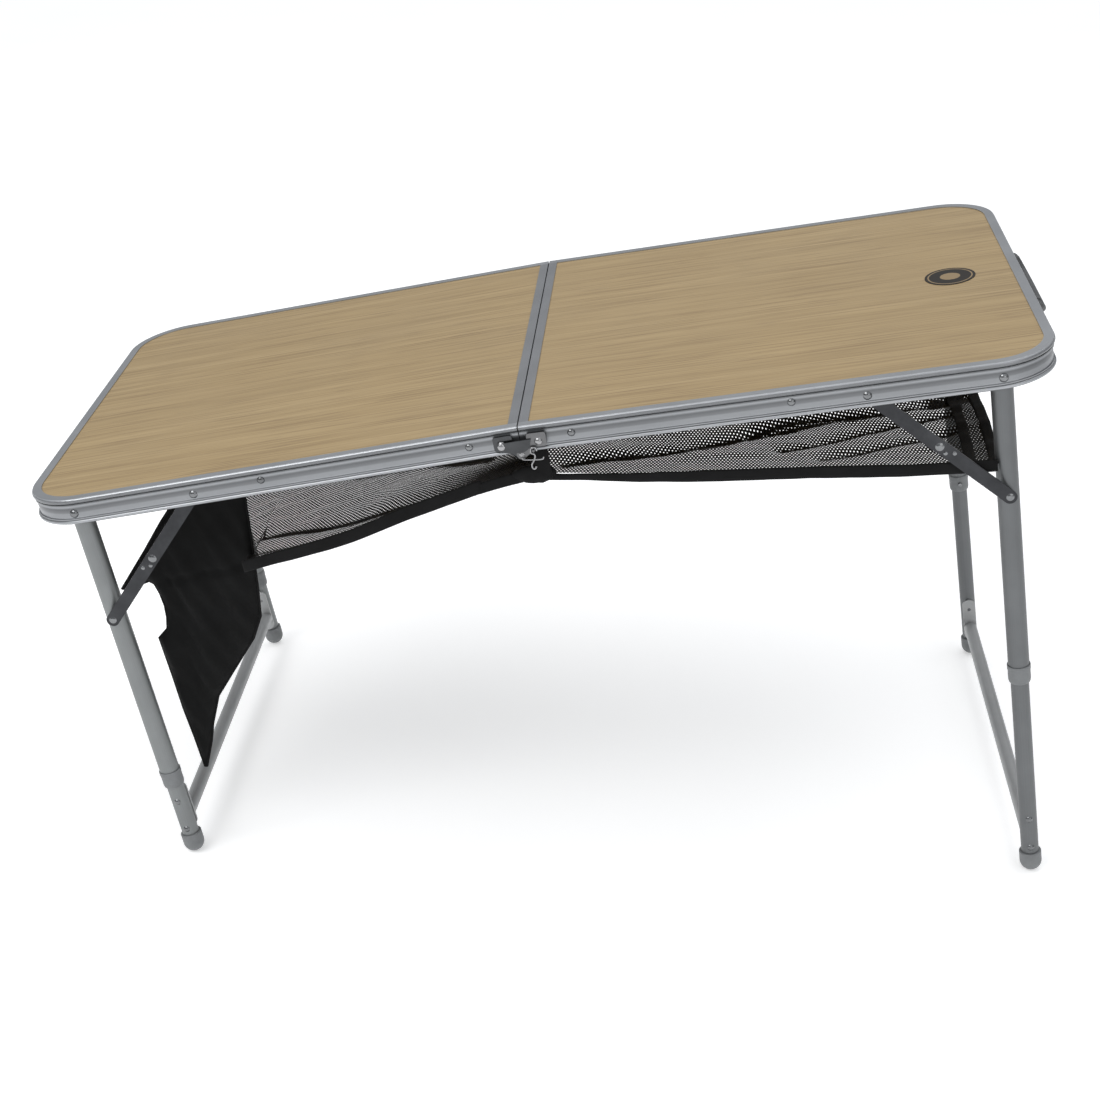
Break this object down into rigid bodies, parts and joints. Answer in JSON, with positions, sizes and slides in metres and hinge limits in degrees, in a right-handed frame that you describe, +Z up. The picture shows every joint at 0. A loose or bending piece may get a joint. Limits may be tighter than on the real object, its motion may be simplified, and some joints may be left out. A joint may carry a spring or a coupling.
{
  "type": "camp kitchen table",
  "caption": "Folding aluminium-framed camp table: two wooden halves on a centre hinge, telescopic legs with folding stays, a mesh storage net below and a carrying handle.",
  "frame": {"origin": "on the floor, under the middle of the open table", "axes": "+X along the table towards its long-legged end, -Y to the front, +Z up"},
  "size_m": [1.2339, 0.6194, 0.692],
  "materials": {
    "laminate": "matt oak laminate",
    "rim_aluminium": "satin anodised",
    "tube_aluminium": "satin grey",
    "grey_plastic": "moulded",
    "stay_steel": "zinc plated",
    "hinge_steel": "dark nickel",
    "rivet_steel": "bright domed",
    "mesh_net": "open black mesh",
    "black_webbing": "black woven polyester",
    "badge_print": "printed disc"
  },
  "bodies": {
    "left_half": {"panel_left": "laminate", "rim_left": "rim_aluminium", "centre_rail_left": "rim_aluminium", "panel_rivets_left": "rivet_steel", "leg_pivots_left": "rivet_steel", "stay_pivots_left": "rivet_steel", "hinge_leaves_left": "hinge_steel", "hinge_rivets_left": "rivet_steel", "net_left": "mesh_net", "hinge_pins": "rivet_steel", "side_bag": "black_webbing"},
    "left_upper_legs": {"upper_tube_front_left": "tube_aluminium", "upper_tube_back_left": "tube_aluminium", "cross_tube_left": "tube_aluminium", "leg_collars_left": "grey_plastic"},
    "left_lower_legs": {"lower_tube_front_left": "tube_aluminium", "lower_tube_back_left": "tube_aluminium", "crossbar_left": "tube_aluminium", "crossbar_rivets_left": "rivet_steel", "feet_left": "grey_plastic"},
    "left_upper_stays": {"upper_stays_left": "stay_steel", "knee_rivets_left": "rivet_steel"},
    "left_lower_stays": {"lower_stays_left": "stay_steel", "stay_rivets_left": "rivet_steel"},
    "left_front_button": {"snap_button_front_left": "grey_plastic"},
    "left_back_button": {"snap_button_back_left": "grey_plastic"},
    "right_half": {"panel_right": "laminate", "rim_right": "rim_aluminium", "centre_rail_right": "rim_aluminium", "panel_rivets_right": "rivet_steel", "leg_pivots_right": "rivet_steel", "stay_pivots_right": "rivet_steel", "hinge_leaves_right": "hinge_steel", "hinge_rivets_right": "rivet_steel", "net_right": "mesh_net", "handle_brackets": "grey_plastic", "net_straps": "black_webbing", "badge": "badge_print"},
    "right_upper_legs": {"upper_tube_front_right": "tube_aluminium", "upper_tube_back_right": "tube_aluminium", "cross_tube_right": "tube_aluminium", "leg_collars_right": "grey_plastic"},
    "right_lower_legs": {"lower_tube_front_right": "tube_aluminium", "lower_tube_back_right": "tube_aluminium", "crossbar_right": "tube_aluminium", "crossbar_rivets_right": "rivet_steel", "feet_right": "grey_plastic"},
    "right_upper_stays": {"upper_stays_right": "stay_steel", "knee_rivets_right": "rivet_steel"},
    "right_lower_stays": {"lower_stays_right": "stay_steel", "stay_rivets_right": "rivet_steel"},
    "right_front_button": {"snap_button_front_right": "grey_plastic"},
    "right_back_button": {"snap_button_back_right": "grey_plastic"},
    "handle": {"handle": "grey_plastic"},
    "lock_link_front": {"lock_link_front": "hinge_steel"},
    "lock_link_back": {"lock_link_back": "hinge_steel"}
  },
  "joints": [
    {"name": "centre_fold", "type": "hinge", "parent": "left_half", "child": "right_half", "pos_m": [-0.0199, 0, 0.5722], "axis": [0, 1, 0], "range_deg": [0, 75]},
    {"name": "left_leg_fold", "type": "hinge", "parent": "left_half", "child": "left_upper_legs", "pos_m": [-0.54871, 0, 0.48992], "axis": [0, -1, 0], "range_deg": [0, 90], "deforming": ["net_left", "side_bag"]},
    {"name": "left_leg_slide", "type": "slide", "parent": "left_upper_legs", "child": "left_lower_legs", "axis": [-0.1786, 0, 0.9839], "range_m": [-0.1731, 0], "deforming": ["snap_button_front_left", "snap_button_back_left"]},
    {"name": "left_upper_stay", "type": "hinge", "parent": "left_half", "child": "left_upper_stays", "pos_m": [-0.40407, 0, 0.51617], "axis": [0, -1, 0], "range_deg": [-45.5, 0]},
    {"name": "left_stay_knee", "type": "hinge", "parent": "left_upper_stays", "child": "left_lower_stays", "pos_m": [-0.46326, 0, 0.43073], "axis": [0, -1, 0], "range_deg": [0, 180.5]},
    {"name": "left_front_button_press", "type": "slide", "parent": "left_lower_legs", "child": "left_front_button", "axis": [0, -1, 0], "range_m": [0, 0.0045], "stiffness_N_per_m": 300},
    {"name": "left_back_button_press", "type": "slide", "parent": "left_lower_legs", "child": "left_back_button", "axis": [0, 1, 0], "range_m": [0, 0.0045], "stiffness_N_per_m": 300},
    {"name": "right_leg_fold", "type": "hinge", "parent": "right_half", "child": "right_upper_legs", "pos_m": [0.50739, 0, 0.66371], "axis": [0, 1, 0], "range_deg": [0, 76.5], "deforming": ["net_right", "net_straps"]},
    {"name": "right_leg_slide", "type": "slide", "parent": "right_upper_legs", "child": "right_lower_legs", "axis": [-0.1461, 0, 0.9893], "range_m": [0, 0.1731], "deforming": ["snap_button_front_right", "snap_button_back_right"]},
    {"name": "right_upper_stay", "type": "hinge", "parent": "right_half", "child": "right_upper_stays", "pos_m": [0.36197, 0, 0.64224], "axis": [0, 1, 0], "range_deg": [-42.68, 0]},
    {"name": "right_stay_knee", "type": "hinge", "parent": "right_upper_stays", "child": "right_lower_stays", "pos_m": [0.44541, 0, 0.58026], "axis": [0, 1, 0], "range_deg": [0, 161.36]},
    {"name": "right_front_button_press", "type": "slide", "parent": "right_lower_legs", "child": "right_front_button", "axis": [0, -1, 0], "range_m": [0, 0.0045], "stiffness_N_per_m": 300},
    {"name": "right_back_button_press", "type": "slide", "parent": "right_lower_legs", "child": "right_back_button", "axis": [0, 1, 0], "range_m": [0, 0.0045], "stiffness_N_per_m": 300},
    {"name": "lock_link_front_swing", "type": "hinge", "parent": "right_half", "child": "lock_link_front", "pos_m": [-0.00664, 0, 0.5782], "axis": [0, 1, 0], "range_deg": [-60, 60]},
    {"name": "lock_link_back_swing", "type": "hinge", "parent": "right_half", "child": "lock_link_back", "pos_m": [-0.00664, 0, 0.5782], "axis": [0, 1, 0], "range_deg": [-60, 60]},
    {"name": "handle_swing", "type": "hinge", "parent": "right_half", "child": "handle", "pos_m": [0.57741, 0, 0.67556], "axis": [0, 1, 0], "range_deg": [-86, 9]}
  ],
  "couplings": [
    {"joint": "left_upper_stay", "follows": "left_leg_fold", "ratio": -0.5},
    {"joint": "left_stay_knee", "follows": "left_leg_fold", "ratio": 2},
    {"joint": "right_upper_stay", "follows": "right_leg_fold", "ratio": -0.55139},
    {"joint": "right_stay_knee", "follows": "right_leg_fold", "ratio": 2.1028}
  ]
}
